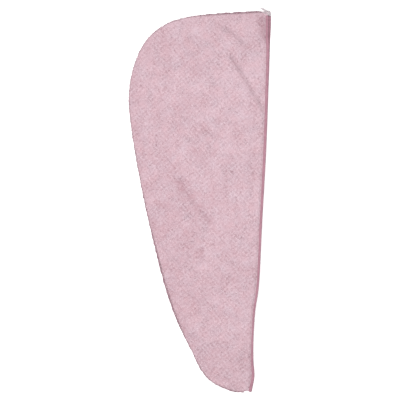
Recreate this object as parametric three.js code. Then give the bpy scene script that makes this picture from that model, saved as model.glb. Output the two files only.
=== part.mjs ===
// A hair turban towel, lying flat on its back panel.
//
// Two like panels of looped towelling are sewn together round one long curved edge, from the
// crown corner over the back of the head and down to the tip of the tail, and turned right side
// out. The straight side is left open for the head, and each panel's edge there is bound with a
// folded tape. The raw edges of the seam lie inside, overlocked together into one flat ridge.
//
// Units are millimetres. X runs from the seam side to the open side, Y from the tail to the
// crown, and Z up from the surface that the towel lies on. The origin is the middle of its
// footprint.
import * as THREE from "three";

// Overall size
const length = 650;
const width = 241;

// Towelling
const clothWall = 2.6;
const turnedWall = 0.6; // what shows of its thickness where it turns in at the seam line
const turnedReach = 3; // distance over which the turned edge rounds up to its full thickness

// Hollow between the panels
const hollowHeight = 11; // rise of the front panel above the seam's own height
const hollowReach = 110; // distance from the seam at which it has risen all the way

// Seam: both raw edges, overlocked together and turned in
const seamDepth = 7;
const seamThickness = 2.2;
const seamProud = 0.8; // how far the overlocked edge shows past the towelling

// Tape that binds the open edges
const bindingWidth = 5;
const tapeThickness = 0.8;
const boundCloth = 1.4; // towelling squeezed flat inside the tape
const swellReach = 4; // distance past the tape over which the towelling swells to its full wall
const bareCorner = 8.5; // towelling left bare past the tape's end at the crown corner
const tapeTail = 1.5; // how far the tape runs on past the tail corner
const backPeek = 2.5; // how far the back tape shows past the front one at the crown
const peekLeft = 0.3; // share of that which is left at the tail

const clearance = 0.3; // between two pieces that touch

// How finely the curved shapes are divided
const rowPitch = 13;
const linePoints = 240;

// Corners where the seam line and the open edge meet. across is a share of the width from the
// seam side, and along a share of the length from the crown.
const crownCorner = { across: 0.993, along: 0 };
const tailCorner = { across: 0.866, along: 0.996 };

// The seam line, from the crown corner round the back of the head to the tail corner
const seamLine = [
  crownCorner,
  { across: 0.77, along: 0.004 },
  { across: 0.52, along: 0.011 },
  { across: 0.38, along: 0.02 },
  { across: 0.26, along: 0.036 },
  { across: 0.127, along: 0.076 },
  { across: 0.035, along: 0.147 },
  { across: 0, along: 0.228 },
  { across: 0.015, along: 0.3 },
  { across: 0.062, along: 0.41 },
  { across: 0.134, along: 0.543 },
  { across: 0.262, along: 0.732 },
  { across: 0.346, along: 0.819 },
  { across: 0.438, along: 0.888 },
  { across: 0.51, along: 0.942 },
  { across: 0.572, along: 0.969 },
  { across: 0.7, along: 0.994 },
  { across: 0.78, along: 1 },
  tailCorner,
];

// The open edge, from the crown corner straight down to the tail corner
const mouthLine = [
  crownCorner,
  { across: 1, along: 0.012 },
  { across: 0.998, along: 0.06 },
  { across: 0.984, along: 0.207 },
  { across: 0.968, along: 0.365 },
  { across: 0.94, along: 0.549 },
  { across: 0.914, along: 0.725 },
  { across: 0.89, along: 0.785 },
  { across: 0.878, along: 0.85 },
  { across: 0.877, along: 0.916 },
  { across: 0.884, along: 0.958 },
  tailCorner,
];

// Creases, dents and swells of the front panel. Each runs between two places, given as shares
// across and along. rise is a share of the hollow's height, negative for a crease, and reach is
// half its breadth as a share of the width.
const folds = [
  { name: "crown crease", from: [0.62, 0.037], to: [0.8, 0.102], rise: -0.22, reach: 0.045 },
  { name: "mouth crease", from: [0.71, 0.108], to: [0.93, 0.241], rise: -0.26, reach: 0.045 },
  { name: "middle crease", from: [0.37, 0.451], to: [0.56, 0.554], rise: -0.24, reach: 0.05 },
  { name: "side crease", from: [0.18, 0.451], to: [0.35, 0.47], rise: -0.1, reach: 0.05 },
  { name: "middle dent", from: [0.5, 0.635], to: [0.51, 0.65], rise: -0.13, reach: 0.06 },
  { name: "lower dent", from: [0.46, 0.74], to: [0.46, 0.75], rise: -0.1, reach: 0.06 },
  { name: "tail crease", from: [0.66, 0.89], to: [0.8, 0.95], rise: -0.1, reach: 0.05 },
  { name: "shoulder swell", from: [0.12, 0.15], to: [0.12, 0.23], rise: 0.12, reach: 0.13 },
  { name: "crown swell", from: [0.66, 0.2], to: [0.72, 0.32], rise: 0.16, reach: 0.16 },
  { name: "mouth swell", from: [0.83, 0.4], to: [0.82, 0.58], rise: 0.12, reach: 0.14 },
  { name: "tail swell", from: [0.72, 0.8], to: [0.74, 0.86], rise: 0.1, reach: 0.12 },
];

// Heights above the surface that the towel lies on
const bindingThickness = boundCloth + 2 * clearance + 2 * tapeThickness;
const backInner = Math.max(clothWall, (bindingThickness + boundCloth) / 2);
const seamBottom = backInner + clearance;
const seamTop = seamBottom + seamThickness;
const frontInner = seamTop + clearance;

// Plan geometry: the two edge lines as smooth curves, and distances from them

function planPoint([across, along]) {
  return new THREE.Vector2((across - 0.5) * width, (0.5 - along) * length);
}

function smoothLine(table) {
  const points = table.map(({ across, along }) => {
    const p = planPoint([across, along]);
    return new THREE.Vector3(p.x, p.y, 0);
  });
  const curve = new THREE.CatmullRomCurve3(points, false, "centripetal");
  curve.arcLengthDivisions = linePoints;
  return curve;
}

const seamCurve = smoothLine(seamLine);
const mouthCurve = smoothLine(mouthLine);
const seamPoints = seamCurve.getSpacedPoints(linePoints);
const mouthPoints = mouthCurve.getSpacedPoints(linePoints);
const mouthLength = mouthCurve.getLength();

// The place on a line at a share of its length, moved towards the inside of the towel.
// side is 1 where the inside lies left of the way the line runs, and -1 where it lies right.
function offsetPoint(curve, share, side, inwards) {
  const at = curve.getPointAt(share);
  const way = curve.getTangentAt(share);
  return new THREE.Vector2(at.x - side * way.y * inwards, at.y + side * way.x * inwards);
}

const fromSeamLine = (share, inwards) => offsetPoint(seamCurve, share, 1, inwards);
const fromMouthLine = (share, inwards) => offsetPoint(mouthCurve, share, -1, inwards);

function distanceToSegment(p, a, b) {
  const dx = b.x - a.x;
  const dy = b.y - a.y;
  const share = ((p.x - a.x) * dx + (p.y - a.y) * dy) / (dx * dx + dy * dy || 1);
  const s = THREE.MathUtils.clamp(share, 0, 1);
  return Math.hypot(p.x - a.x - s * dx, p.y - a.y - s * dy);
}

function distanceToLine(p, points) {
  let nearest = Infinity;
  for (let i = 1; i < points.length; i++) {
    nearest = Math.min(nearest, distanceToSegment(p, points[i - 1], points[i]));
  }
  return nearest;
}

// Heights and thicknesses of the cloth at a place in plan

// Rises as a quarter of a circle from 0 to 1
function quarterRound(s) {
  const rest = 1 - THREE.MathUtils.clamp(s, 0, 1);
  return Math.sqrt(1 - rest * rest);
}

function foldsAt(p) {
  let sum = 0;
  for (const { from, to, rise, reach } of folds) {
    const away = distanceToSegment(p, planPoint(from), planPoint(to)) / (reach * width);
    sum += rise * hollowHeight * Math.exp(-away * away);
  }
  return sum;
}

// How far the front panel's inner face stands above the seam's top at a place in plan
function loftAt(p) {
  const risen = (distanceToLine(p, seamPoints) - seamDepth - clearance) / hollowReach;
  const share = THREE.MathUtils.clamp(risen, 0, 1);
  const settle = THREE.MathUtils.smoothstep(share, 0, 0.25);
  return hollowHeight * Math.sin((share * Math.PI) / 2) + settle * foldsAt(p);
}

const backFace = () => backInner;
const frontFace = (p) => frontInner + loftAt(p);

// Thickness of a panel: rounded up from the turned edge at the seam, and squeezed in the tape
function wallAt(p, mouthInset) {
  const fromEdge = distanceToLine(p, seamPoints) - seamProud;
  const turned = turnedWall + (clothWall - turnedWall) * quarterRound(fromEdge / turnedReach);
  const fromTape = distanceToLine(p, mouthPoints) - mouthInset - bindingWidth;
  const swell = THREE.MathUtils.smoothstep(fromTape, 0, swellReach);
  return Math.min(turned, THREE.MathUtils.lerp(boundCloth, clothWall, swell));
}

// Meshes

function meshGeometry(points, faces) {
  const positions = new Float32Array(points.flatMap((p) => [p.x, p.y, p.z]));
  const geometry = new THREE.BufferGeometry();
  geometry.setAttribute("position", new THREE.BufferAttribute(positions, 3));
  geometry.setIndex(faces.flat());
  geometry.computeVertexNormals();
  return geometry;
}

// Shares of the edge lines at which the panels have a row. The first row stands where the tape
// begins, so the bare corner is a row of its own.
const rowCount = Math.max(12, Math.round(length / rowPitch));
const tapeStart = bareCorner / mouthLength;
const rowShares = [0];
for (let i = 0; i < rowCount; i++) {
  rowShares.push(tapeStart + ((1 - tapeStart) * i) / (rowCount - 1));
}
const lastRow = rowShares.length - 1;

// The corner of a ring that lies one distance inside the seam line and another inside the open
// edge, kept short of the neighbouring rows.
function cornerPoint(row, fromSeam, fromMouth) {
  const share = rowShares[row];
  const next = rowShares[row === 0 ? 1 : lastRow - 1];
  const room = 0.8 * Math.abs(next - share) * mouthLength;
  const corner = fromMouthLine(share, 0);
  const seamNormal = fromSeamLine(share, 1).sub(corner);
  const mouthNormal = fromMouthLine(share, 1).sub(corner);
  const a = Math.min(fromSeam, room);
  const b = Math.min(fromMouth, room);
  const cross = seamNormal.x * mouthNormal.y - seamNormal.y * mouthNormal.x;
  return new THREE.Vector2(
    corner.x + (a * mouthNormal.y - b * seamNormal.y) / cross,
    corner.y + (b * seamNormal.x - a * mouthNormal.x) / cross,
  );
}

// A panel is laid out in plan as rings that follow its edge, closer together where the edge
// rounds or is squeezed, and as rows across what is left in the middle. innerFace gives the
// height of the face that looks into the hollow, and outwards is 1 where the other face is above
// it and -1 where it is below.
function panelGeometry({ innerFace, outwards, peek, columns }) {
  const tapeInset = tapeThickness + clearance;
  const mouthInset = (share) => tapeInset + peek * THREE.MathUtils.lerp(1, peekLeft, share);
  const rings = [
    { seam: 0, mouth: 0 },
    { seam: 0.15 * turnedReach, mouth: 0.3 * bindingWidth },
    { seam: 0.45 * turnedReach, mouth: 0.65 * bindingWidth },
    { seam: turnedReach, mouth: bindingWidth },
    { seam: seamDepth + clearance, mouth: bindingWidth + swellReach },
  ];
  const plan = [];
  const wall = [];
  const add = (p, inset) => {
    plan.push(p);
    wall.push(wallAt(p, inset));
    return plan.length - 1;
  };
  const ringLoops = rings.map(({ seam, mouth }) => {
    const fromSeam = seamProud + seam;
    const loop = [];
    rowShares.forEach((share, row) => {
      const inset = mouthInset(share);
      if (row === 0) loop.push(add(cornerPoint(row, fromSeam, seamProud + mouth), inset));
      else if (row === lastRow) loop.push(add(cornerPoint(row, fromSeam, inset + mouth), inset));
      else loop.push(add(fromSeamLine(share, fromSeam), inset));
    });
    for (let row = lastRow - 1; row > 0; row--) {
      const inset = mouthInset(rowShares[row]);
      loop.push(add(fromMouthLine(rowShares[row], inset + mouth), inset));
    }
    return loop;
  });
  const inner = ringLoops[ringLoops.length - 1];
  const rows = rowShares.map((share, row) => {
    if (row === 0 || row === lastRow) return [inner[row]];
    const seamEnd = inner[row];
    const mouthEnd = inner[2 * lastRow - row];
    const line = [seamEnd];
    for (let c = 1; c <= columns; c++) {
      const p = plan[seamEnd].clone().lerp(plan[mouthEnd], c / (columns + 1));
      line.push(add(p, mouthInset(share)));
    }
    line.push(mouthEnd);
    return line;
  });

  // The same triangles serve both faces of the cloth, seen from above
  const faces = [];
  const loopLength = ringLoops[0].length;
  for (let r = 1; r < ringLoops.length; r++) {
    for (let i = 0; i < loopLength; i++) {
      const j = (i + 1) % loopLength;
      const [a, b] = [ringLoops[r - 1][i], ringLoops[r - 1][j]];
      const [c, d] = [ringLoops[r][j], ringLoops[r][i]];
      faces.push([a, b, c], [a, c, d]);
    }
  }
  for (let row = 1; row <= lastRow; row++) {
    const above = rows[row - 1];
    const below = rows[row];
    const most = Math.max(above.length, below.length);
    for (let c = 1; c < most; c++) {
      if (below.length === most) {
        const tip = above[Math.min(c - 1, above.length - 1)];
        faces.push([tip, below[c - 1], below[c]]);
      }
      if (above.length === most) {
        const tip = below[Math.min(c, below.length - 1)];
        faces.push([above[c - 1], tip, above[c]]);
      }
    }
  }

  const count = plan.length;
  const heights = plan.map((p) => innerFace(p));
  const innerPoints = plan.map((p, i) => new THREE.Vector3(p.x, p.y, heights[i]));
  const outerPoints = plan.map(
    (p, i) => new THREE.Vector3(p.x, p.y, heights[i] + outwards * wall[i]),
  );
  const upper = outwards > 0 ? outerPoints : innerPoints;
  const lower = outwards > 0 ? innerPoints : outerPoints;
  const rim = ringLoops[0];
  const rimFaces = rim.flatMap((a, i) => {
    const b = rim[(i + 1) % rim.length];
    return [
      [a, a + count, b + count],
      [a, b + count, b],
    ];
  });
  const lowerFaces = faces.map(([a, b, c]) => [a + count, c + count, b + count]);
  return meshGeometry([...upper, ...lower], [...faces, ...lowerFaces, ...rimFaces]);
}

// A strip swept along an edge. outline is the strip's section, with its points running from the
// inside of the towel upwards, and sections holds its places for each step along the edge. side is
// the side of the edge that the inside of the towel lies on, as for offsetPoint.
function stripGeometry(outline, sections, side) {
  const size = outline.length;
  const faces = [];
  for (let s = 1; s < sections.length; s++) {
    for (let i = 0; i < size; i++) {
      const j = (i + 1) % size;
      const [a, b] = [(s - 1) * size + i, (s - 1) * size + j];
      const [c, d] = [s * size + j, s * size + i];
      faces.push([a, b, c], [a, c, d]);
    }
  }
  const contour = outline.map(([inwards, up]) => new THREE.Vector2(inwards, up));
  const last = (sections.length - 1) * size;
  for (const [a, b, c] of THREE.ShapeUtils.triangulateShape(contour, [])) {
    faces.push([c, b, a], [last + a, last + b, last + c]);
  }
  const outwardFaces = side > 0 ? faces : faces.map(([a, b, c]) => [c, b, a]);
  return meshGeometry(sections.flat(), outwardFaces);
}

// The tape folded over a panel's open edge: a channel whose two arms hold the squeezed cloth
function bindingGeometry({ innerFace, outwards, peek }) {
  const half = bindingThickness / 2;
  const slot = half - tapeThickness;
  const corner = half / 2;
  const outline = [
    [bindingWidth, -half],
    [bindingWidth, -slot],
    [tapeThickness, -slot],
    [tapeThickness, slot],
    [bindingWidth, slot],
    [bindingWidth, half],
    [corner, half],
    [0.3 * corner, half - 0.3 * corner],
    [0, half - corner],
    [0, corner - half],
    [0.3 * corner, 0.3 * corner - half],
    [corner, -half],
  ];
  const shares = rowShares.slice(1);
  shares[0] += clearance / mouthLength;
  const sections = shares.map((share, i) => {
    const shift = peek * THREE.MathUtils.lerp(1, peekLeft, share);
    const run = i === shares.length - 1 ? tapeTail : 0;
    const way = mouthCurve.getTangentAt(share).multiplyScalar(run);
    return outline.map(([inwards, up]) => {
      const p = fromMouthLine(share, shift + inwards);
      const middle = innerFace(p) + (outwards * boundCloth) / 2;
      return new THREE.Vector3(p.x + way.x, p.y + way.y, middle + up);
    });
  });
  return stripGeometry(outline, sections, -1);
}

// The turned-in seam ends just inside the tape at both corners
function seamEnd(from, step) {
  const clear = bindingWidth + backPeek + 2 * clearance;
  for (let share = from; share >= 0 && share <= 1; share += step) {
    const near = [0, seamDepth].map((d) => distanceToLine(fromSeamLine(share, d), mouthPoints));
    if (Math.min(...near) >= clear) return share;
  }
  return from;
}

function seamGeometry() {
  const middle = (seamBottom + seamTop) / 2;
  const half = seamThickness / 2;
  const outline = [
    [seamDepth, -half],
    [seamDepth, half],
    [0.5 * half, half],
    [0, 0.5 * half],
    [0, -0.5 * half],
    [0.5 * half, -half],
  ];
  const step = 1 / linePoints / 4;
  const first = seamEnd(0, step);
  const last = seamEnd(1, -step);
  const sections = [];
  for (let i = 0; i <= rowCount; i++) {
    const share = THREE.MathUtils.lerp(first, last, i / rowCount);
    sections.push(
      outline.map(([inwards, up]) => {
        const p = fromSeamLine(share, inwards);
        return new THREE.Vector3(p.x, p.y, middle + up);
      }),
    );
  }
  return stripGeometry(outline, sections, 1);
}

// Finishes and pieces

const towelling = new THREE.MeshStandardMaterial({
  name: "towelling",
  color: 0xdabac3,
  roughness: 0.95,
  metalness: 0,
});
const tape = new THREE.MeshStandardMaterial({
  name: "tape",
  color: 0xb98796,
  roughness: 0.7,
  metalness: 0,
});
const overlock = new THREE.MeshStandardMaterial({
  name: "overlock",
  color: 0xa57a89,
  roughness: 0.8,
  metalness: 0,
});

const backEdge = { innerFace: backFace, outwards: -1, peek: 0 };
const frontEdge = { innerFace: frontFace, outwards: 1, peek: backPeek };

const pieces = [
  { name: "back_panel", material: towelling, geometry: panelGeometry({ ...backEdge, columns: 4 }) },
  {
    name: "front_panel",
    material: towelling,
    geometry: panelGeometry({ ...frontEdge, columns: 11 }),
  },
  { name: "back_binding", material: tape, geometry: bindingGeometry(backEdge) },
  { name: "front_binding", material: tape, geometry: bindingGeometry(frontEdge) },
  { name: "seam", material: overlock, geometry: seamGeometry() },
];

const towel = new THREE.Group();
for (const { name, material, geometry } of pieces) {
  const mesh = new THREE.Mesh(geometry, material);
  mesh.name = name;
  towel.add(mesh);
}

export default towel;
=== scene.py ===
import math

import bmesh
import bpy
import numpy as np
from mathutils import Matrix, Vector, kdtree, noise


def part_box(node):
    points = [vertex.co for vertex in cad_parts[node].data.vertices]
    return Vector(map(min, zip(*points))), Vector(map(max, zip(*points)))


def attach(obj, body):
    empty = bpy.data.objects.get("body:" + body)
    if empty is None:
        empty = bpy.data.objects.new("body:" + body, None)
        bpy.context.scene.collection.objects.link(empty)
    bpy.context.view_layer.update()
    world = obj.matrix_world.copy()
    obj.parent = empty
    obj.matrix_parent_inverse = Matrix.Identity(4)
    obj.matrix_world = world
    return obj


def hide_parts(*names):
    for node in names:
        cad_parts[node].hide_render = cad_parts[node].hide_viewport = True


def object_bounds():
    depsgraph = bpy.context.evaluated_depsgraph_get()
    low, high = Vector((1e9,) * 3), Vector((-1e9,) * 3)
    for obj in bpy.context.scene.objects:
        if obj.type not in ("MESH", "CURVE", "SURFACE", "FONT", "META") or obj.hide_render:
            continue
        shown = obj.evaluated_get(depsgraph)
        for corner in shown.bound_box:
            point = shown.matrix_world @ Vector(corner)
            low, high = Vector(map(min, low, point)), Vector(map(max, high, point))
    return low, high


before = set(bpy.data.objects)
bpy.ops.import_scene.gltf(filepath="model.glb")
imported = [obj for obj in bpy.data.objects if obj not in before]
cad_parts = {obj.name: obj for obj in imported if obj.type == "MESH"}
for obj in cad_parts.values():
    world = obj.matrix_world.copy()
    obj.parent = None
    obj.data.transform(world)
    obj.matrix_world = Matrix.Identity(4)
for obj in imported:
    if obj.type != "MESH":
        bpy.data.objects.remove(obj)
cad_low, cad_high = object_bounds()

mm = 0.001


# Pattern
# Both panels are cut to one paper pattern: a long curve from the crown corner round the back of
# the head to the tail, which is sewn, and a nearly straight side, which stays open.

length = cad_high.y - cad_low.y
width = cad_high.x - cad_low.x
middle = (cad_low + cad_high) / 2
spline_steps = 60

# Places on both edges as shares: across from the seam side, and along from the crown
crown_corner = (0.993, 0)
tail_corner = (0.866, 0.996)
seam_places = [
    crown_corner,
    (0.77, 0.004),
    (0.52, 0.011),
    (0.38, 0.02),
    (0.26, 0.036),
    (0.127, 0.076),
    (0.035, 0.147),
    (0, 0.228),
    (0.015, 0.3),
    (0.062, 0.41),
    (0.134, 0.543),
    (0.262, 0.732),
    (0.346, 0.819),
    (0.438, 0.888),
    (0.51, 0.942),
    (0.572, 0.969),
    (0.7, 0.994),
    (0.78, 1),
    tail_corner,
]
mouth_places = [
    crown_corner,
    (1, 0.012),
    (0.998, 0.06),
    (0.984, 0.207),
    (0.968, 0.365),
    (0.94, 0.549),
    (0.914, 0.725),
    (0.89, 0.785),
    (0.878, 0.85),
    (0.877, 0.916),
    (0.884, 0.958),
    tail_corner,
]


def planned(shares):
    """Places in metres from shares across and along."""
    shares = np.asarray(shares, float)
    x = middle.x + (shares[..., 0] - 0.5) * width
    y = middle.y + (0.5 - shares[..., 1]) * length
    return np.stack([x, y], axis=-1)


def smooth(places):
    """Closely spaced points on a centripetal spline through places."""
    p = np.concatenate([[2 * places[0] - places[1]], places, [2 * places[-1] - places[-2]]])
    knots = np.cumsum([0, *np.sqrt(np.linalg.norm(np.diff(p, axis=0), axis=1))])

    def between(t, a, b, start, end):
        return (start * (knots[b] - t) + end * (t - knots[a])) / (knots[b] - knots[a])

    pieces = []
    for i in range(1, len(p) - 2):
        t = np.linspace(knots[i], knots[i + 1], spline_steps, endpoint=False)[:, None]
        ends = [between(t, k, k + 1, p[k], p[k + 1]) for k in (i - 1, i, i + 1)]
        halves = [between(t, k, k + 2, ends[k - i + 1], ends[k - i + 2]) for k in (i - 1, i)]
        pieces.append(between(t, i, i + 1, *halves))
    return np.concatenate([*pieces, places[-1:]])


def unit(vectors):
    """Vectors of the same directions, each one long."""
    return vectors / np.linalg.norm(vectors, axis=-1)[..., None]


class Edge:
    """A long edge seen from above. inside is 1 where the towel lies left of the way it runs."""

    step = 0.25 * mm

    def __init__(self, points, inside):
        run = np.cumsum([0, *np.linalg.norm(np.diff(points, axis=0), axis=1)])
        self.length = run[-1]
        even = np.linspace(0, self.length, round(self.length / self.step) + 1)
        self.points = np.stack([np.interp(even, run, points[:, k]) for k in (0, 1)], axis=1)
        self.way = unit(np.gradient(self.points, axis=0))
        self.inward = inside * np.stack([-self.way[:, 1], self.way[:, 0]], axis=1)

    def at(self, values, share):
        """Values that are known at the edge's points, read at shares of its length."""
        whole = np.linspace(0, 1, len(self.points))
        return np.stack([np.interp(share, whole, values[:, k]) for k in (0, 1)], axis=-1)

    def place(self, share, inwards=0.0):
        """Points at shares of the edge's length, moved inwards."""
        inwards = np.asarray(inwards)[..., None]
        return self.at(self.points, share) + self.at(self.inward, share) * inwards

    def nearest(self, places):
        """Distance from the edge, and the nearest share of its length, for each of places."""
        tree = kdtree.KDTree(len(self.points))
        for i, (x, y) in enumerate(self.points):
            tree.insert((x, y, 0), i)
        tree.balance()
        found = [tree.find((x, y, 0))[1:] for x, y in places]
        index, distance = np.array(found).T
        return distance, index / (len(self.points) - 1)


seam_edge = Edge(smooth(planned(seam_places)), inside=1)
mouth_edge = Edge(smooth(planned(mouth_places)), inside=-1)


# Towelling
# Microfibre terry in mauve pink. Its short loops stand in clumps, in slanting rows that show in
# patches, and the pile's tone follows its relief: painted highlight on the tips and painted shade
# in the gaps. The dye takes a little unevenly and the pile is brushed up in places. The front
# panel also carries painted shade along its creases and dents and painted highlight on its swells.

# Two sets of rows: their pitch, their slant, and the breadth of the patches that they show in
clump_rows = [(5.8 * mm, math.radians(40), 14 * mm), (6.2 * mm, math.radians(-48), 19 * mm)]
row_patchiness = 2.5
wander_size = 11 * mm
wander_turn = 8

# Breadths of the pile's parts, and of the patches of dye, brushing and hue
clump_size = 4.4 * mm
tip_size = 3.1 * mm
gap_size = 3.7 * mm
strand_size = 1.5 * mm
dye_size = 30 * mm
brush_size = 13 * mm
hue_size = 16 * mm

# How strongly each of them changes the tone
row_tone = 0.055
clump_tone = 0.5
tip_highlight_tone = 0.56
gap_shade_tone = 0.26
strand_tone = 1.1
dye_tone = 0.55
brush_tone = 1.7
hue_change = 2

# Painted light: how much paler the cloth is painted in a metre towards the open side, and towards the
# crown
painted_light_across = 0.6
painted_light_along = 0.18
pile_relief = 1.0 * mm


class Shade:
    """One output of a material's nodes. Arithmetic on it adds Math nodes."""

    def __init__(self, tree, socket=None):
        self.tree = tree
        self.socket = socket

    def node(self, kind, settings, inputs, output=0):
        """The output of a new node, with its settings made first and then its inputs."""
        made = self.tree.nodes.new("ShaderNode" + kind)
        for name, value in settings.items():
            if name == "stops":
                ramp = made.color_ramp
                while len(ramp.elements) < len(value):
                    ramp.elements.new(1)
                for stop, (position, color) in zip(ramp.elements, value):
                    stop.position = position
                    stop.color = color
            else:
                setattr(made, name, value)
        for key, value in inputs.items():
            if isinstance(value, Shade):
                self.tree.links.new(value.socket, made.inputs[key])
            else:
                made.inputs[key].default_value = value
        return Shade(self.tree, made.outputs[output])

    def other(self, output):
        """Another output of the node that this one comes from."""
        return Shade(self.tree, self.socket.node.outputs[output])

    def math(self, operation, *values):
        """A Math node on outputs or numbers."""
        return self.node("Math", {"operation": operation}, dict(enumerate(values)))

    def mix(self, share, first, second):
        """Blends two colours by share."""
        return self.node("Mix", {"data_type": "RGBA"}, {0: share, 6: first, 7: second}, 2)

    def clouds(self, place, size, detail=2.0):
        """Noise from about -0.5 to 0.5, with swells as broad as size."""
        return self.node("TexNoise", {}, {"Vector": place, "Scale": 1 / size, "Detail": detail}) - 0.5

    def dots(self, place, size, spread):
        """1 in the middle of scattered dots, falling to 0 between them."""
        away = self.node(
            "TexVoronoi",
            {"feature": "F1"},
            {"Vector": place, "Scale": 1 / size, "Randomness": 0.9},
            "Distance",
        )
        return self.math("MAXIMUM", 1 - away / spread, 0)

    def __add__(self, other):
        return self.math("ADD", self, other)

    def __sub__(self, other):
        return self.math("SUBTRACT", self, other)

    def __rsub__(self, other):
        return self.math("SUBTRACT", other, self)

    def __mul__(self, other):
        return self.math("MULTIPLY", self, other)

    def __truediv__(self, other):
        return self.math("DIVIDE", self, other)

    __radd__ = __add__
    __rmul__ = __mul__


def dye(red, green, blue):
    """A colour given in the 0 to 255 of a picture, as the shader's linear one."""
    picture = np.array([red, green, blue]) / 255
    linear = np.where(picture < 0.04045, picture / 12.92, ((picture + 0.055) / 1.055) ** 2.4)
    return (*linear, 1.0)


def new_material(name, roughness, sheen):
    """An empty cloth or yarn, with its nodes and the shader to feed."""
    material = bpy.data.materials.new(name)
    material.use_nodes = True
    shader = material.node_tree.nodes["Principled BSDF"]
    shader.inputs["Roughness"].default_value = roughness
    shader.inputs["Specular IOR Level"].default_value = 0.2
    shader.inputs["Sheen Weight"].default_value = sheen
    shader.inputs["Sheen Roughness"].default_value = 0.5
    return material, Shade(material.node_tree), shader


def feed(shade, shader, color, height, depth):
    """Joins a colour and the relief of a surface, depth high, to the shader."""
    bump = shade.node("Bump", {}, {"Strength": 1.0, "Distance": depth, "Height": height})
    shade.tree.links.new(color.socket, shader.inputs["Base Color"])
    shade.tree.links.new(bump.socket, shader.inputs["Normal"])


def towelling():
    """Terry on Object coordinates, with painted shade and highlight from the mesh's pressed
    attribute.
    """
    material, shade, shader = new_material("towelling", roughness=0.95, sheen=0.1)
    dark, pale = dye(172, 138, 146), dye(221, 196, 203)
    warm, cool = dye(255, 247, 249), dye(250, 252, 255)
    place = shade.node("TexCoord", {}, {}, "Object")
    x = shade.node("SeparateXYZ", {}, {0: place})
    y = x.other("Y")
    wander = shade.clouds(place, wander_size) * wander_turn
    rows = 0
    for pitch, slant, spread in clump_rows:
        turn = 2 * math.pi / pitch
        across = x * (turn * math.cos(slant)) + y * (turn * math.sin(slant))
        kept = 1 + shade.clouds(place, spread, detail=1.0) * row_patchiness
        rows = rows + shade.math("SINE", across + wander) * kept
    clump = shade.clouds(place, clump_size, detail=1.0)
    # Painted highlight on the pile's tips and painted shade in its gaps
    tip = shade.dots(place, tip_size, spread=0.42)
    gap_shade = shade.dots(place, gap_size, spread=0.4)
    strand = shade.clouds(place, strand_size)
    dyed = shade.clouds(place, dye_size, detail=4.0)
    brushed = 1 + shade.clouds(place, brush_size, detail=1.0) * brush_tone
    # The pile's tone follows its relief, so its hollows carry painted shade
    pile = rows * row_tone + clump * clump_tone + tip * tip_highlight_tone - gap_shade * gap_shade_tone
    pile = (pile + strand * strand_tone) * brushed
    # Painted shade along the creases and dents, and painted highlight on the swells, from the mesh
    pressed = shade.node("Attribute", {"attribute_name": "pressed"}, {}, "Fac")
    # Painted light makes the cloth paler towards the open side and the crown
    tone = 0.5 + pile + dyed * dye_tone + x * painted_light_across + y * painted_light_along - pressed
    cloth = shade.mix(tone, dark, pale)
    hue = 0.5 + shade.clouds(place, hue_size, detail=2.0) * hue_change
    cast = shade.mix(hue, warm, cool)
    color = shade.node(
        "Mix", {"data_type": "RGBA", "blend_type": "MULTIPLY"}, {0: 1.0, 6: cloth, 7: cast}, 2
    )
    feed(shade, shader, color, pile, depth=pile_relief)
    return material


towelling_material = towelling()


# Back panel
# Towelling that lies flat on the surface below. Its curved edge is sewn to the front panel's with
# the pile inside and then turned out, so it rounds up to the seam. Its straight edge is squeezed
# thin inside a tape.

# Thickness of the cloth where it is open, turned in at the seam, and held by the tape
cloth_wall = 2.6 * mm
turned_wall = 0.6 * mm
bound_cloth = 1.4 * mm

# How far from the seam, and from the tape, the cloth has its full thickness again
turned_reach = 3 * mm
swell_reach = 4 * mm

# The folded tape, and the least gap that is left between pieces
towel_gap = 0.3 * mm
binding_width = 5 * mm
tape_wall = 0.8 * mm
tape_inset = tape_wall + towel_gap

# The crown corner, where no tape holds the cloth's edge
corner_place = planned(crown_corner)
bare_corner = 8.5 * mm
bare_hold = 0.6 * bare_corner
bare_fade = 0.5 * bare_corner
bare_inset = 0.5 * mm

# The seam's stitches, which draw the edge in
scallop_pitch = 9.5 * mm
scallop_depth = 0.35 * mm

# A band along both edges, at most a quarter of the row, takes more of the mesh's columns
edge_band = 6 * mm
band_columns = 0.08

corner_reach = 30 * mm
weld = 0.01 * mm
back_pile = 0.12 * mm

# How far the seam shows past the cloth, in mm, by shares of the seam from crown to tail. Its dark
# thread, showing past the cloth, also stands in for painted shade along the cloth's rounded edge.
showing = [
    (0, 0.6),
    (0.01, 2.8),
    (0.05, 3.1),
    (0.1, 2.3),
    (0.125, 2.0),
    (0.14, 1.0),
    (0.24, 0.5),
    (0.34, 0.3),
    (0.42, 0.7),
    (0.5, 0.9),
    (0.6, 1.2),
    (0.625, 2.5),
    (0.72, 2.9),
    (0.8, 2.5),
    (0.83, 1.2),
    (0.93, 1.2),
    (0.95, 2.2),
    (0.975, 2.0),
    (1, 0.9),
]

# By shares of the open edge from crown to tail: how far the back panel's edge is set back from the
# pattern's, in mm, and how wide a folded tape shows, as a share of its full width
back_set = [(0, -0.6), (0.05, -0.6), (0.09, 0), (0.15, -0.2), (0.5, -0.4), (1, -0.6)]
tape_shows = [
    (0, 1.02),
    (0.07, 0.96),
    (0.4, 0.94),
    (0.73, 0.8),
    (0.84, 0.66),
    (0.93, 0.8),
    (1, 1.06),
]


def by_share(share, table):
    """Values read off a table of shares and values."""
    return np.interp(share, *np.array(table).T)


def eased(x):
    """Rises smoothly from 0 to 1 as x does."""
    x = np.clip(x, 0, 1)
    return x * x * (3 - 2 * x)


def waves(places, size, seed):
    """Smooth noise from about -1 to 1 at each place, with swells as broad as size."""
    return np.array([noise.noise((x / size, y / size, seed)) for x, y in places])


def tape_width(share):
    return binding_width * by_share(share, tape_shows)


def bare(away_from_corner):
    """1 at the crown corner, where no tape holds the cloth, and 0 where the tape has begun."""
    return 1 - eased((away_from_corner - bare_hold) / bare_fade)


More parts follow.
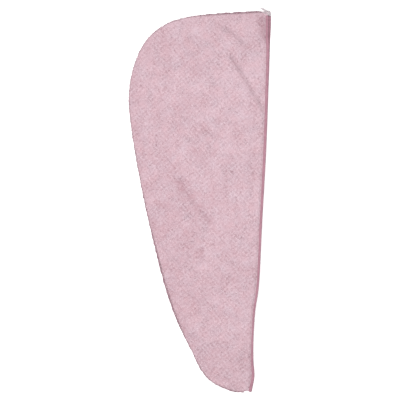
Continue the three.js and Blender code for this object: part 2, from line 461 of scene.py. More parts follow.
def trimmed(seam_points, mouth_points):
    """Two edges cut back to the two corners where they cross."""
    reach = round(corner_reach / Edge.step)

    def crossing(a, b):
        away = np.linalg.norm(a[:, None] - b[None], axis=2)
        return np.unravel_index(away.argmin(), away.shape)

    first = crossing(seam_points[:reach], mouth_points[:reach])
    last = crossing(seam_points[-reach:], mouth_points[-reach:])
    cut = []
    for points, start, end in zip((seam_points, mouth_points), first, last):
        cut.append(points[start : len(points) - reach + end + 1])
    for k in (0, -1):
        cut[0][k] = cut[1][k] = (cut[0][k] + cut[1][k]) / 2
    return Edge(cut[0], inside=1), Edge(cut[1], inside=-1)


def panel_edges(set_back):
    """The panel's own two edges inside the pattern's, scalloped by the seam's stitches."""
    share = np.linspace(0, 1, len(seam_edge.points))
    pull = 0.5 - 0.5 * np.cos(2 * np.pi * share * seam_edge.length / scallop_pitch)
    shows = by_share(share, showing) * mm
    seam_side = seam_edge.place(share, shows + scallop_depth * pull)
    share = np.linspace(0, 1, len(mouth_edge.points))
    free = bare(share * mouth_edge.length)
    taped = tape_inset + by_share(share, set_back) * mm
    mouth_side = mouth_edge.place(share, free * bare_inset + (1 - free) * taped)
    return trimmed(seam_side, mouth_side)


def panel_plan(bm, set_back, columns, rows):
    """Lays a slab over the panel's shape in plan, its columns closer together at both edges."""
    bmesh.ops.create_grid(bm, x_segments=columns, y_segments=rows, size=0.5)
    raised = bmesh.ops.extrude_face_region(bm, geom=bm.faces[:], use_keep_orig=True)
    upper = [v for v in raised["geom"] if isinstance(v, bmesh.types.BMVert)]
    bmesh.ops.translate(bm, vec=(0, 0, 1), verts=upper)
    bmesh.ops.recalc_face_normals(bm, faces=bm.faces)
    at = np.array([v.co for v in bm.verts])
    across, along = at[:, 0] + 0.5, 0.5 - at[:, 1]
    seam_side, mouth_side = panel_edges(set_back)
    start, end = seam_side.place(along), mouth_side.place(along)
    span = np.linalg.norm(end - start, axis=1)
    band = np.minimum(edge_band, 0.25 * span)
    inner = (across - band_columns) / (1 - 2 * band_columns)
    run = np.select(
        [across < band_columns, across > 1 - band_columns],
        [across / band_columns * band, span + (across - 1) / band_columns * band],
        band + inner * (span - 2 * band),
    )
    plan = start + (end - start) * (run / np.maximum(span, 1e-6))[:, None]
    return plan, at[:, 2] > 0.5, seam_side, mouth_side


def turned_cloth(from_seam):
    """Thickness of the cloth where it rounds up from the turned-in seam."""
    rest = 1 - np.clip(from_seam / turned_reach, 0, 1)
    return turned_wall + (cloth_wall - turned_wall) * np.sqrt(1 - rest * rest)


def panel_wall(from_seam, from_mouth, mouth_share, from_corner):
    """Thickness of the cloth: rounded up from the seam, and squeezed inside the tape."""
    from_tape = from_mouth + tape_inset - tape_width(mouth_share)
    swell = np.maximum(eased(from_tape / swell_reach), bare(from_corner))
    return np.minimum(turned_cloth(from_seam), bound_cloth + (cloth_wall - bound_cloth) * swell)


def new_piece(name, bm, material):
    """The mesh as a smooth object that rides with the towel."""
    mesh = bpy.data.meshes.new(name)
    for face in bm.faces:
        face.smooth = True
    bm.to_mesh(mesh)
    bm.free()
    piece = bpy.data.objects.new(name, mesh)
    bpy.context.scene.collection.objects.link(piece)
    piece.data.materials.append(material)
    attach(piece, "root")
    return piece


def finish_panel(name, bm, plan, heights, pressed):
    """Sets the slab's heights and its painted shade and highlight, and closes its corners."""
    mark = bm.verts.layers.float.new("pressed")
    for vert, (x, y), z, darker in zip(bm.verts, plan, heights, pressed):
        vert.co = (x, y, z)
        vert[mark] = darker
    bmesh.ops.remove_doubles(bm, verts=bm.verts, dist=weld)
    return new_piece(name, bm, towelling_material)


def back_panel():
    bm = bmesh.new()
    plan, upper, seam_side, mouth_side = panel_plan(bm, back_set, columns=80, rows=260)
    from_seam, _ = seam_side.nearest(plan)
    from_mouth, mouth_share = mouth_side.nearest(plan)
    from_corner = np.linalg.norm(plan - corner_place, axis=1)
    wall = panel_wall(from_seam, from_mouth, mouth_share, from_corner)
    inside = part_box("back_panel")[1].z
    pile = back_pile * waves(plan, size=5 * mm, seed=3) * eased((wall - turned_wall) / (2 * mm))
    heights = np.where(upper, inside + pile, np.maximum(inside - wall, 0))
    return finish_panel("back_towelling", bm, plan, heights, pressed=np.zeros(len(plan)))


back = back_panel()
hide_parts("back_panel")


# Front panel
# The same cut in mirror image, on top. It stands a little off the back panel where the head goes
# in, and carries the creases and soft dents that it was folded and packed with.

hollow_height = 11 * mm
hollow_reach = 110 * mm
seam_depth = 7 * mm
pucker_depth = 0.35 * mm
pucker_reach = 7 * mm
pucker_start = 2 * mm

# Folds come in over this share of the way up into the hollow
fold_settles = 0.25

# The cloth's own unevenness: broad, coarse and fine
drift_height = 0.5 * mm
coarse_pile = 0.16 * mm
fine_pile = 0.14 * mm

# How far the front panel's edge is set back, as the back panel's is given
front_set = [(0, 3.9), (0.075, 3.6), (0.095, 2), (0.16, 1.1), (0.5, 0.6), (1, 0)]

# Soft dents and swells, each between two places, as shares across and along. rise is a share of
# the hollow's height, and reach is half its breadth as a share of the width.
swells = {
    "middle dent": {"from": (0.36, 0.46), "to": (0.56, 0.575), "rise": -0.3, "reach": 0.055},
    "side dent": {"from": (0.18, 0.451), "to": (0.35, 0.47), "rise": -0.1, "reach": 0.05},
    "low dent": {"from": (0.5, 0.635), "to": (0.51, 0.65), "rise": -0.18, "reach": 0.06},
    "lower dent": {"from": (0.46, 0.74), "to": (0.46, 0.75), "rise": -0.1, "reach": 0.06},
    "tail dent": {"from": (0.66, 0.89), "to": (0.8, 0.95), "rise": -0.1, "reach": 0.05},
    "shoulder": {"from": (0.12, 0.15), "to": (0.12, 0.23), "rise": 0.12, "reach": 0.13},
    "crown": {"from": (0.66, 0.2), "to": (0.72, 0.32), "rise": 0.16, "reach": 0.16},
    "mouth side": {"from": (0.83, 0.4), "to": (0.82, 0.58), "rise": 0.12, "reach": 0.14},
    "tail": {"from": (0.72, 0.8), "to": (0.74, 0.86), "rise": 0.1, "reach": 0.12},
    "tape hollow": {"from": (0.92, 0.0), "to": (0.94, 0.12), "rise": -0.12, "reach": 0.016},
}

# Pressed creases. The cloth rises to the line over crease_reach, drops past it within step to
# crease_dip of the rise below its own level, and lies level again over crease_reach. Each crease
# comes and goes over crease_fade of its length.
creases = {
    "crown": {"from": (0.516, 0.015), "to": (0.855, 0.12), "rise": 2.6 * mm, "step": 15 * mm},
    "mouth": {"from": (0.654, 0.102), "to": (0.954, 0.288), "rise": 3 * mm, "step": 12 * mm},
    "hook": {"from": (0.6, 0.125), "to": (0.76, 0.135), "rise": 0.7 * mm, "step": 7 * mm},
    "middle": {"from": (0.345, 0.465), "to": (0.578, 0.575), "rise": 2.4 * mm, "step": 14 * mm},
    "side": {"from": (0.12, 0.44), "to": (0.4, 0.475), "rise": 1.2 * mm, "step": 11 * mm},
}
crease_reach = 15 * mm
crease_dip = 0.5
crease_fade = 0.18

# Painted shade and painted highlight on the front panel: darker along its creases, in its dents and
# beside the tape's start, and paler in a few broad places, mostly on its swells. darker is a share
# of the dye's range.
painted_shading_marks = {
    "crown": {"from": (0.594, 0.024), "to": (0.82, 0.094), "darker": 0.05, "reach": 5.5 * mm},
    "mouth": {"from": (0.714, 0.12), "to": (0.905, 0.239), "darker": 0.02, "reach": 4.5 * mm},
    "spot": {"from": (0.36, 0.444), "to": (0.375, 0.465), "darker": 0.22, "reach": 7 * mm},
    "streak": {"from": (0.403, 0.475), "to": (0.565, 0.55), "darker": 0.14, "reach": 6 * mm},
    "streak end": {"from": (0.544, 0.54), "to": (0.565, 0.551), "darker": 0.14, "reach": 8 * mm},
    "low": {"from": (0.516, 0.633), "to": (0.516, 0.648), "darker": 0.22, "reach": 6.5 * mm},
    "lower": {"from": (0.438, 0.743), "to": (0.445, 0.756), "darker": 0.04, "reach": 8 * mm},
    "left": {"from": (0.205, 0.512), "to": (0.254, 0.517), "darker": 0.14, "reach": 9 * mm},
    "corner": {"from": (0.9, 0.025), "to": (0.91, 0.045), "darker": 0.13, "reach": 13 * mm},
    "pale crown": {"from": (0.66, 0.21), "to": (0.7, 0.25), "darker": -0.11, "reach": 14 * mm},
    "pale tail": {"from": (0.72, 0.83), "to": (0.8, 0.83), "darker": -0.16, "reach": 15 * mm},
    "pale low side": {"from": (0.5, 0.83), "to": (0.51, 0.84), "darker": -0.12, "reach": 12 * mm},
    "tape's start": {"from": (0.933, 0.018), "to": (0.954, 0.076), "darker": 0.42, "reach": 5 * mm},
}
# The painted shade and highlight vary in patches by this share
painted_shading_patchiness = 0.6


def puckers(from_seam, seam_share):
    """Small gathers that the seam's stitches pull into the cloth beside it, some deeper."""
    turn = 2 * np.pi * seam_share * seam_edge.length / scallop_pitch
    uneven = 1 + 0.5 * np.sin(turn / 5.3) + 0.3 * np.sin(turn / 2.7 + 1)
    fade = np.exp(-from_seam / pucker_reach) * eased(from_seam / pucker_start)
    return -pucker_depth * np.cos(turn) * uneven * fade


def away_from(places, start, end):
    """Distance of each place from the straight line between two places."""
    line = end - start
    share = np.clip(((places - start) @ line) / (line @ line), 0, 1)
    return np.linalg.norm(places - start - share[:, None] * line, axis=1)


def crease_height(places, start, end, step):
    """A crease's profile across its line, as a share of its rise, fading out at both ends."""
    line = end - start
    run = np.linalg.norm(line)
    way = line / run
    along = (places - start) @ way / run
    aside = (places - start) @ np.array([-way[1], way[0]])
    rising = np.exp(np.minimum(aside, 0) / crease_reach)
    dropped = 1 - (1 + crease_dip) * eased(aside / step)
    level = crease_dip * (1 - np.exp(-np.maximum(aside - step, 0) / crease_reach))
    profile = np.where(aside < 0, rising, dropped + level)
    return profile * eased(along / crease_fade) * eased((1 - along) / crease_fade)


def front_inside(places):
    """Height of the front panel's inner face."""
    from_seam, _ = seam_edge.nearest(places)
    risen = np.clip((from_seam - seam_depth - towel_gap) / hollow_reach, 0, 1)
    settle = eased(risen / fold_settles)
    folded = np.zeros(len(places))
    for swell in swells.values():
        start, end = planned(swell["from"]), planned(swell["to"])
        away = away_from(places, start, end) / (swell["reach"] * width)
        folded += swell["rise"] * hollow_height * np.exp(-away * away)
    for crease in creases.values():
        start, end = planned(crease["from"]), planned(crease["to"])
        folded += crease["rise"] * crease_height(places, start, end, crease["step"])
    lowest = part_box("front_panel")[0].z
    return lowest + hollow_height * np.sin(risen * np.pi / 2) + settle * folded


def painted_shading_at(places):
    """How much darker or paler the cloth is painted: painted shade and painted highlight."""
    pressed = np.zeros(len(places))
    for mark in painted_shading_marks.values():
        away = away_from(places, planned(mark["from"]), planned(mark["to"])) / mark["reach"]
        pressed += mark["darker"] * np.exp(-away * away)
    return pressed * (1 + painted_shading_patchiness * waves(places, size=6 * mm, seed=11))


def front_panel():
    bm = bmesh.new()
    plan, upper, seam_side, mouth_side = panel_plan(bm, front_set, columns=122, rows=390)
    from_seam, seam_share = seam_side.nearest(plan)
    from_mouth, mouth_share = mouth_side.nearest(plan)
    from_corner = np.linalg.norm(plan - corner_place, axis=1)
    wall = panel_wall(from_seam, from_mouth, mouth_share, from_corner)
    open_cloth = eased((wall - bound_cloth) / (cloth_wall - bound_cloth))
    drift = drift_height * waves(plan, size=45 * mm, seed=7) * eased(from_seam / (40 * mm))
    inside = front_inside(plan) + drift * open_cloth
    pile = coarse_pile * waves(plan, size=7 * mm, seed=3)
    pile = pile + fine_pile * waves(plan, size=3.6 * mm, seed=5)
    outside = inside + wall + pile * open_cloth + puckers(from_seam, seam_share) * open_cloth
    heights = np.where(upper, outside, inside)
    # The cloth's painted shade and painted highlight go with the mesh
    return finish_panel("front_towelling", bm, plan, heights, painted_shading_at(plan))


front = front_panel()
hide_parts("front_panel")


# Bindings
# A soft knitted tape in rose is folded round each panel's open edge and sewn down through both
# its arms with one row of stitches, so it swells in the middle and dips along the stitching.

tape_half = bound_cloth / 2 + towel_gap + tape_wall
tape_start = (bare_corner + towel_gap) / mouth_edge.length
tape_tail = 1.5 * mm
tape_steps = 330
tape_rib = 0.75 * mm
tape_course = 0.6 * mm

# The tape's section: its rounded fold, the dip at its stitches, its lips, and the points along its
# outer face, which lie closer together round the fold
fold_reach = 0.42 * binding_width
stitch_dip = 0.26
lip_wall = 0.45 * mm
outer_points = 19
point_spacing = 1.5

# The tape's tone, and how strongly its uneven dye, its knit and the painted shade on its outer
# fold change it
tape_tone = 0.58
uneven_tone = 1.2
knit_tone = 0.06
fold_shade_tone = 0.75
fold_shade_reach = 2 * mm

# The stitches. The first starts at first_stitch of a pitch past the tape's own start. Each bows up
# by stitch_bow of its thickness from stitch_sunk below the tape's face.
first_stitch = 0.2
stitch_pitch = 3 * mm
stitch_length = 2.1 * mm
stitch_thick = 0.45 * mm
stitch_inset = 0.84
stitch_bow = 0.9
stitch_sunk = 0.55
yarn_sides = 4
yarn_points = 7


def tape_profile(inwards):
    """Height of the folded tape over its middle plane."""
    round_fold = np.sqrt(1 - (1 - np.clip(inwards / fold_reach, 0, 1)) ** 2)
    dip = np.clip((inwards - fold_reach) / (binding_width - fold_reach), 0, 1)
    return tape_half * round_fold * (1 - stitch_dip * dip**2)


def tape_section():
    """Closed outline of the folded tape, as distances inwards and up, outer face first."""
    turn = np.linspace(-1, 1, outer_points)
    outer_in = binding_width * np.abs(turn) ** point_spacing
    outer = np.stack([outer_in, np.sign(turn) * tape_profile(outer_in)], axis=1)
    inner_in = tape_wall + (binding_width - tape_wall) * np.abs(turn[::2]) ** point_spacing
    slot = tape_half - tape_wall
    inner_up = -np.sign(turn[::2]) * np.minimum(slot, tape_profile(inner_in) - lip_wall)
    return np.concatenate([outer, np.stack([inner_in, inner_up], axis=1)])


tape_outline = tape_section()
tape_run = np.cumsum([0, *np.linalg.norm(np.diff(tape_outline, axis=0), axis=1)])
tape_girth = tape_run[outer_points - 1]


def tape_material():
    """Knitted ribs and courses on the tape's own UV map, in metres along and round it."""
    material, shade, shader = new_material("binding_tape", roughness=0.62, sheen=0.15)
    dark, pale = dye(146, 102, 116), dye(188, 140, 154)
    laid = shade.node("UVMap", {"uv_map": "cloth"}, {})
    along = shade.node("SeparateXYZ", {}, {0: laid})
    girth = along.other("Y")
    rib = shade.math("SINE", girth * (2 * math.pi / tape_rib))
    course = shade.math("SINE", along * (2 * math.pi / tape_course))
    uneven = shade.clouds(laid, 6 * mm, detail=3.0)
    # Painted shade along the middle of the tape's outer face, its fold
    from_fold_middle = shade.math("ABSOLUTE", girth - tape_girth / 2) / fold_shade_reach
    painted_fold_shade = shade.math("MAXIMUM", 1 - from_fold_middle, 0)
    tone = tape_tone + uneven * uneven_tone + (rib + course) * knit_tone - painted_fold_shade * fold_shade_tone
    color = shade.mix(tone, dark, pale)
    feed(shade, shader, color, rib * 0.3 + course * 0.2 + uneven * 0.8, depth=0.12 * mm)
    return material


def yarns(name, paths, thick, material):
    """Threads joined as one mesh. Each of paths is a bowed row of points down its middle."""
    count, points, _ = paths.shape
    way = np.gradient(paths, axis=1)
    bow = unit(np.cross(paths[:, -1] - paths[:, 0], paths[:, points // 2] - paths[:, 0]))
    aside = unit(np.cross(way, bow[:, None]))
    turn = np.arange(yarn_sides)[:, None] * 2 * np.pi / yarn_sides
    ring = np.cos(turn) * bow[:, None, None] + np.sin(turn) * aside[:, :, None]
    around = paths[:, :, None] + ring * thick / 2
    corner = np.arange(count * points * yarn_sides).reshape(count, points, yarn_sides)
    after = np.roll(corner, -1, axis=2)
    walls = np.stack([corner[:, :-1], after[:, :-1], after[:, 1:], corner[:, 1:]], axis=-1)
    ends = np.stack([corner[:, 0], corner[:, -1]], axis=1)
    faces = np.concatenate([walls.reshape(-1, yarn_sides), ends.reshape(-1, yarn_sides)])
    mesh = bpy.data.meshes.new(name)
    mesh.from_pydata(around.reshape(-1, 3).tolist(), [], faces.tolist())
    bm = bmesh.new()
    bm.from_mesh(mesh)
    bpy.data.meshes.remove(mesh)
    bmesh.ops.recalc_face_normals(bm, faces=bm.faces)
    return new_piece(name, bm, material)


def flat_strip(outline, steps, first, last):
    """A strip to be closed to a tube, with each vertex's corner of the outline and its share."""
    bm = bmesh.new()
    bmesh.ops.create_grid(bm, x_segments=len(outline), y_segments=steps, size=0.5)
    at = np.array([v.co for v in bm.verts])
    corner = np.rint((at[:, 0] + 0.5) * len(outline)).astype(int) % len(outline)
    return bm, corner, first + (0.5 - at[:, 1]) * (last - first)


def close_tube(bm, places):
    """Lays the strip's vertices at places, joins its long sides and fills its ends."""
    for vert, place in zip(bm.verts, places):
        vert.co = place
    bmesh.ops.remove_doubles(bm, verts=bm.verts, dist=weld)
    bmesh.ops.holes_fill(bm, edges=[edge for edge in bm.edges if edge.is_boundary])
    bmesh.ops.recalc_face_normals(bm, faces=bm.faces)


def folded_tape(name, surface, material):
    """The tape itself, laid on surface from the crown to just past the tail."""
    bm, corner, share = flat_strip(tape_outline, tape_steps, tape_start, 1)
    places = surface(share, *tape_outline[corner].T)
    tail = np.where(share > 1 - 0.5 / tape_steps, tape_tail, 0)
    places[:, :2] += mouth_edge.at(mouth_edge.way, share) * tail[:, None]
    laid = bm.loops.layers.uv.new("cloth")
    for face in bm.faces:
        for loop in face.loops:
            i = loop.vert.index
            loop[laid].uv = (share[i] * mouth_edge.length, tape_run[corner[i]])
    close_tube(bm, places)
    return new_piece(name, bm, material)


def tape_stitches(name, surface, outwards, material):
    """One row of stitches sunk into the tape's outer face."""
    count = int((1 - tape_start) * mouth_edge.length / stitch_pitch)
    first = tape_start + (np.arange(count) + first_stitch) * stitch_pitch / mouth_edge.length
    bow = np.linspace(0, 1, yarn_points)
    along = (first[:, None] + bow * stitch_length / mouth_edge.length).ravel()
    inwards = np.full(len(along), stitch_inset * binding_width)
    threads = surface(along, inwards, outwards * tape_profile(inwards)).reshape(count, len(bow), 3)
    threads[:, :, 2] += outwards * stitch_thick * (stitch_bow * np.sin(bow * np.pi) - stitch_sunk)
    threads[:, :, 2] = np.maximum(threads[:, :, 2], stitch_thick / 2)
    return yarns(name, threads, stitch_thick, material)


def binding(name, inside_height, outwards, set_back, material):
    """The tape along an open edge and its stitches. inside_height is of the panel's inner face."""

    def surface(share, inwards, up):
        """Where a point of the tape's section lies. The tape is a little fuller in places."""
        edge = by_share(share, set_back) * mm
        reach = tape_width(share)
        plan = mouth_edge.place(share, edge + inwards * reach / binding_width)
        spine = mouth_edge.place(share, edge + 0.5 * reach)
        along = share * mouth_edge.length
        uneven = 1 + 0.05 * np.sin(along / (11 * mm)) + 0.04 * np.sin(along / (4.7 * mm) + 2)
        sewn = 0.05 * np.cos(2 * np.pi * along / stitch_pitch) * (inwards > 0.7 * binding_width)
        level = inside_height(spine) + outwards * bound_cloth / 2
        heights = level + up * uneven * (1 - sewn)
        return np.concatenate([plan, np.maximum(heights, 0)[:, None]], axis=1)

    tape = folded_tape(name, surface, material)
    return tape, tape_stitches(name + "_stitches", surface, outwards, material)


def back_inside(places):
    """Height of the back panel's inner face."""
    return np.full(len(places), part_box("back_panel")[1].z)


rose_tape = tape_material()
back_tape, back_stitches = binding("back_tape", back_inside, -1, back_set, rose_tape)
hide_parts("back_binding")
front_tape, front_stitches = binding("front_tape", front_inside, 1, front_set, rose_tape)
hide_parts("front_binding")


# Seam
# Both panels' raw edges are overlocked together and lie turned in between them as one flat ridge.
# Its needle threads show from outside as a thin darker line where the towelling stands back; that
# line is partly the thread's own colour and partly painted shade for the cloth's rounded edge.

overlock_pitch = 3.4 * mm
overlock_thick = 0.5 * mm
overlock_reach = 2.8 * mm
overlock_slant = 0.3
overlock_pull = 0.15 * mm
overlock_lift = 0.12 * mm
ridge_half = (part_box("seam")[1].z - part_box("seam")[0].z) / 2
ridge_middle = (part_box("seam")[1].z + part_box("seam")[0].z) / 2
ridge_steps = 1000

# Depth, breadth and seed of the waves in which the ridge's outer edge wanders
ridge_waves = [(0.9 * mm, 10 * mm, 4), (0.7 * mm, 4.5 * mm, 8)]

# Swells of tone in a metre of thread
fine_swells = 900.0
broad_swells = 120.0


def thread_material():
    """Darker rose thread, mottled finely and broadly, dark partly as painted shade for the cloth's
    edge.
    """
    material, shade, shader = new_material("seam_thread", roughness=0.7, sheen=0.2)
    dark, pale = dye(126, 94, 105), dye(162, 127, 138)
    place = shade.node("TexCoord", {}, {}, "Object")
    fine = shade.node("TexNoise", {}, {"Vector": place, "Scale": fine_swells, "Detail": 2.0})
    broad = shade.node("TexNoise", {}, {"Vector": place, "Scale": broad_swells, "Detail": 2.0})
    stops = [(0.35, dark), (0.65, pale)]
    color = shade.node("ValToRGB", {"stops": stops}, {"Fac": fine * 0.5 + broad * 0.5})
    feed(shade, shader, color, fine, depth=0.3 * mm)
    return material


def ridge_place(share, inwards, up):
    """A point of the ridge, whose outer edge wanders and is drawn in by each thread round it."""
    along = share * seam_edge.length
    run = np.stack([along, np.zeros(len(along))], axis=1)
    drawn = overlock_pull * (np.cos(2 * np.pi * along / overlock_pitch) - 1)
    for depth, size, seed in ridge_waves:
        drawn += depth * waves(run, size, seed)
    fade = np.clip(1 - inwards / seam_depth, 0, 1)
    plan = seam_edge.place(share, inwards + drawn * fade)
    return np.concatenate([plan, (ridge_middle + up)[:, None]], axis=1)


def seam_ridge(first, last, material):
    """The flat ridge between the panels, with its outer edge rounded."""
    turn = np.linspace(-0.5 * np.pi, 0.5 * np.pi, 7)
    nose = np.stack([ridge_half * (1 - np.cos(turn)), ridge_half * np.sin(turn)], axis=1)
    inner = [(seam_depth, ridge_half), (seam_depth, 0), (seam_depth, -ridge_half)]
    outline = np.concatenate([nose, inner])
    bm, corner, share = flat_strip(outline, ridge_steps, first, last)
    close_tube(bm, ridge_place(share, *outline[corner].T))
    return new_piece("seam_ridge", bm, material)


def seam_threads(first, last, material):
    """The overlock's threads, each in a slanting turn over the ridge's outer edge."""
    turn = np.linspace(0.5 * np.pi, -0.5 * np.pi, 5)
    round_nose = ridge_half - (ridge_half + overlock_lift) * np.cos(turn)
    inwards = np.array([overlock_reach, *round_nose, overlock_reach])
    over_nose = (ridge_half + overlock_lift) * np.sin(turn)
    up = np.array([ridge_half - overlock_lift, *over_nose, overlock_lift - ridge_half])
    pitch = overlock_pitch / seam_edge.length
    slant = np.linspace(-overlock_slant, overlock_slant, len(up)) * overlock_pitch / seam_edge.length
    starts = np.arange(first + pitch, last - pitch, pitch)
    count = len(starts)
    share = (starts[:, None] + slant).ravel()
    threads = ridge_place(share, np.tile(inwards, count), np.tile(up, count))
    return yarns(
        "seam_threads",
        threads.reshape(count, len(up), 3),
        overlock_thick,
        material,
    )


def ridge_ends():
    """Shares of the seam between which the ridge keeps clear of both tapes."""
    share = np.linspace(0, 1, 400)
    away, _ = mouth_edge.nearest(seam_edge.place(share, seam_depth / 2))
    clear = binding_width + front_set[0][1] * mm + 2 * towel_gap
    free = share[away > clear + seam_depth / 2]
    return free[0], free[-1]


# Thread whose dark tone is partly painted shade along the cloth's rounded edge
thread_and_edge_shade = thread_material()
ridge_first, ridge_last = ridge_ends()
ridge = seam_ridge(ridge_first, ridge_last, thread_and_edge_shade)
ridge_threads = seam_threads(ridge_first, ridge_last, thread_and_edge_shade)
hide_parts("seam")


# Pile along the seam
# The towelling's own loops stand out over the turned edges of both panels, in clumps between the
# stitches, so the outline is soft and the seam's darker thread shows through them.

pile_thick = 0.4 * mm
loop_width = 1.0 * mm
loop_clump = 6 * mm
loop_sunk = 0.2 * mm

# What each loop is drawn from: its place as a share of the seam, its foot's distance from the edge
# and its rise in mm, its lean in radians, its width as a share of loop_width, and its sway
loop_span = (0.004, 0.985)
loop_foot = (0.1, 1.6)
loop_rise = (0.8, 2.1)
loop_lean = (0.05, 0.9)
loop_breadth = (0.7, 1.3)
loop_sway = 0.35

front_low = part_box("front_panel")[0].z
back_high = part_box("back_panel")[1].z


def yarn_material(name, dark, pale):
    """Fuzzy yarn, unevenly faded."""
    material, shade, shader = new_material(name, roughness=0.95, sheen=0.1)
    place = shade.node("TexCoord", {}, {}, "Object")
    color = shade.mix(0.5 + shade.clouds(place, 3 * mm) * 2, dark, pale)
    feed(shade, shader, color, shade.clouds(place, 0.4 * mm), depth=0.1 * mm)
    return material


def loops(feet, along, out, widths, rises):
    """Arched paths that stand on feet, opened along one direction and rising in another."""
    turn = np.linspace(0, np.pi, yarn_points)[None, :, None]
    spread = -0.5 * np.cos(turn) * (1 + 0.5 * np.sin(turn)) * widths[:, None, None]
    risen = out[:, None] * np.sin(turn) * rises[:, None, None]
    return feet[:, None] + along[:, None] * spread + risen


def edge_loops(set_back, level, outwards, count, seed):
    """Loops of pile along a panel's sewn edge. level is the height of the panel's inner face."""
    draw = np.random.default_rng(seed)
    seam_side, _ = panel_edges(set_back)
    share = draw.uniform(*loop_span, count)
    clumped = 0.5 + 0.5 * np.sin(2 * np.pi * share * seam_side.length / loop_clump)
    share = share[draw.random(count) < 0.3 + 0.7 * clumped]
    count = len(share)
    inwards = draw.uniform(*loop_foot, count) * mm
    heights = level + outwards * (turned_cloth(inwards) - loop_sunk)
    feet = np.concatenate([seam_side.place(share, inwards), heights[:, None]], axis=1)
    lean = draw.uniform(*loop_lean, count)[:, None]
    out = -seam_side.at(seam_side.inward, share) * np.cos(lean)
    out = np.concatenate([out, outwards * np.sin(lean) * 0.6], axis=1)
    along = np.concatenate([seam_side.at(seam_side.way, share), np.zeros((count, 1))], axis=1)
    along += draw.normal(0, loop_sway, (count, 3))
    widths = loop_width * draw.uniform(*loop_breadth, count)
    rises = draw.uniform(*loop_rise, count) * mm
    paths = loops(feet, along, out, widths, rises)
    paths[:, :, 2] = np.maximum(paths[:, :, 2], pile_thick / 2)
    return paths


pile_yarn = yarn_material("pile_yarn", dark=dye(176, 148, 156), pale=dye(219, 196, 202))
front_loops = edge_loops(front_set, front_low, outwards=1, count=2200, seed=5)
back_loops = edge_loops(back_set, back_high, outwards=-1, count=1300, seed=6)
pile_paths = np.concatenate([front_loops, back_loops])
seam_pile = yarns("seam_pile", pile_paths, pile_thick, pile_yarn)


# Crown corner
# No tape holds the last of the cloth where seam and open edge meet, so its yarns stand out in a
# pale tuft over the tape's start, with a few loose thread ends at the end of the seam.

tuft_count = 360
tuft_thick = 0.4 * mm
tuft_middle = (0.93, 0.022)
tuft_length = 10 * mm
tuft_reach = 11 * mm
tuft_sunk = 0.3 * mm

# The share of its loops that stand on the cloth's cut side, and what each loop is drawn from: its
# distance from the edge, its width and its rise in mm, and its sway
side_share = 0.3
tuft_foot = (0.2, 15)
tuft_breadth = (0.8, 1.6)
tuft_rise = (0.7, 1.7)
tuft_sway = 0.4

# The loose ends, from the seam's end to the furthest tip, and how far they stray and bend
end_count = 34
end_root = (0.975, 0.004)
end_tip = (0.926, -0.0062)
end_stray = 0.7 * mm
root_stray = 0.8 * mm
end_bend = np.array([0.4 * mm, 0.5 * mm, 0.6 * mm])


def corner_tuft():
    """Loops that fan out from the tuft's middle, some of them from the cloth's cut side."""
    draw = np.random.default_rng(9)
    share = draw.uniform(0, tuft_length, tuft_count) / mouth_edge.length
    inwards = draw.uniform(*tuft_foot, tuft_count) * mm * draw.random(tuft_count) ** 0.5
    from_edge = share * mouth_edge.length
    inside = (from_edge + inwards / 1.5 < tuft_reach) & (from_edge + inwards > 2 * mm)
    share, inwards = share[inside], inwards[inside]
    plan = mouth_edge.place(share, inwards)
    count = len(plan)
    side = draw.random(count) < side_share
    top = front_inside(plan) + cloth_wall * np.where(inwards < 2 * mm, 0.6, 1)
    cut_side = draw.uniform(1.5 * mm, front_low + cloth_wall, count)
    heights = np.where(side, cut_side, top - tuft_sunk)
    feet = np.concatenate([plan, heights[:, None]], axis=1)
    out = unit(plan - planned(tuft_middle))
    out = np.concatenate([out, draw.uniform(0.2, 1, (count, 1))], axis=1)
    out = unit(out + draw.normal(0, tuft_sway, (count, 3)))
    along = unit(draw.normal(0, 1, (count, 3)))
    widths = draw.uniform(*tuft_breadth, count) * mm
    rises = draw.uniform(*tuft_rise, count) * mm
    return loops(feet, along, out, widths, rises)


def loose_ends():
    """Thread ends that curl up from the end of the seam, past the cloth's edge."""
    draw = np.random.default_rng(12)
    root = np.array([*planned(end_root), front_low + 1.5 * mm])
    tip = np.array([*planned(end_tip), front_low + 2 * mm])
    run = np.linspace(0, 1, yarn_points)[None, :, None]
    reach = draw.uniform(0.45, 1, (end_count, 1))
    ends = root + (tip - root) * reach + draw.normal(0, end_stray, (end_count, 3))
    roots = root + draw.normal(0, root_stray, (end_count, 3))
    bend = draw.normal(0, end_stray, (end_count, 3)) + end_bend
    return roots[:, None] * (1 - run) + ends[:, None] * run + bend[:, None] * np.sin(run * np.pi)


tuft_yarn = yarn_material("tuft_yarn", dark=dye(190, 176, 181), pale=dye(233, 226, 228))
tuft_paths = np.concatenate([corner_tuft(), loose_ends()])
tuft = yarns("crown_tuft", tuft_paths, tuft_thick, tuft_yarn)
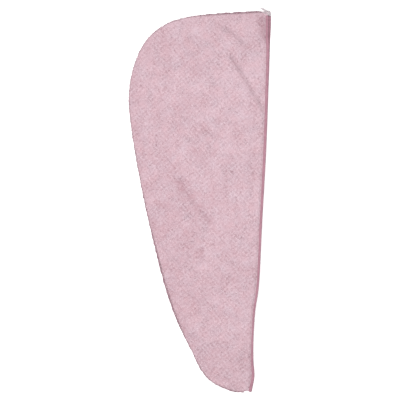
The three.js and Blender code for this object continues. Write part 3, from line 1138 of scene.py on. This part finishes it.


# Floor, light and camera
# A white floor that glows faintly and so shows no shadow, a broad soft lamp overhead, a weaker one
# from the seam's side, and a sky that only the camera sees at full white. The camera has a long
# lens and hangs straight above the towel, with the crown at the top of its picture.

picture_pixels = 400
towel_pixels = 381
pixel = length / towel_pixels
picture_centre = Vector((middle.x + 0.25 * pixel, middle.y + 1.5 * pixel, 0))
lens = 100
sensor = 36
floor_reach = 6
floor_drop = 0.5 * mm
floor_glow = 0.4
sky_light = 0.4

bm = bmesh.new()
bmesh.ops.create_grid(bm, x_segments=1, y_segments=1, size=floor_reach)
bmesh.ops.translate(bm, vec=(0, 0, -floor_drop), verts=bm.verts)
floor_mesh = bpy.data.meshes.new("floor")
bm.to_mesh(floor_mesh)
bm.free()
floor = bpy.data.objects.new("floor", floor_mesh)
bpy.context.scene.collection.objects.link(floor)
paper = bpy.data.materials.new("paper")
paper.use_nodes = True
paper_shader = paper.node_tree.nodes["Principled BSDF"]
paper_shader.inputs["Base Color"].default_value = (0.93, 0.93, 0.93, 1)
paper_shader.inputs["Roughness"].default_value = 0.9
paper_shader.inputs["Emission Color"].default_value = (1, 1, 1, 1)
paper_shader.inputs["Emission Strength"].default_value = floor_glow
floor.data.materials.append(paper)

world = bpy.data.worlds.new("studio")
bpy.context.scene.world = world
world.use_nodes = True
sky = world.node_tree.nodes["Background"]
sky.inputs["Color"].default_value = (1, 1, 1, 1)
seen = Shade(world.node_tree).node("LightPath", {}, {}, "Is Camera Ray")
strength = sky_light + seen * (1 - sky_light)
world.node_tree.links.new(strength.socket, sky.inputs["Strength"])
bpy.context.scene.view_settings.view_transform = "Standard"


def lamp(name, place, across, power):
    """A square area lamp that faces the middle of the towel."""
    light = bpy.data.lights.new(name, "AREA")
    light.shape = "SQUARE"
    light.size = across
    light.energy = power
    holder = bpy.data.objects.new(name, light)
    bpy.context.scene.collection.objects.link(holder)
    holder.location = place
    holder.rotation_euler = (middle - Vector(place)).to_track_quat("-Z", "Y").to_euler()


lamp("overhead", place=(-0.12, 0.25, 2.4), across=1.1, power=43)
lamp("side", place=(-1.3, -0.5, 1.7), across=0.9, power=13)

camera = bpy.data.objects.new("camera", bpy.data.cameras.new("camera"))
bpy.context.scene.collection.objects.link(camera)
camera.data.lens = lens
camera.data.sensor_width = sensor
camera.location = picture_centre + Vector((0, 0, picture_pixels * pixel * lens / sensor))
bpy.context.scene.camera = camera
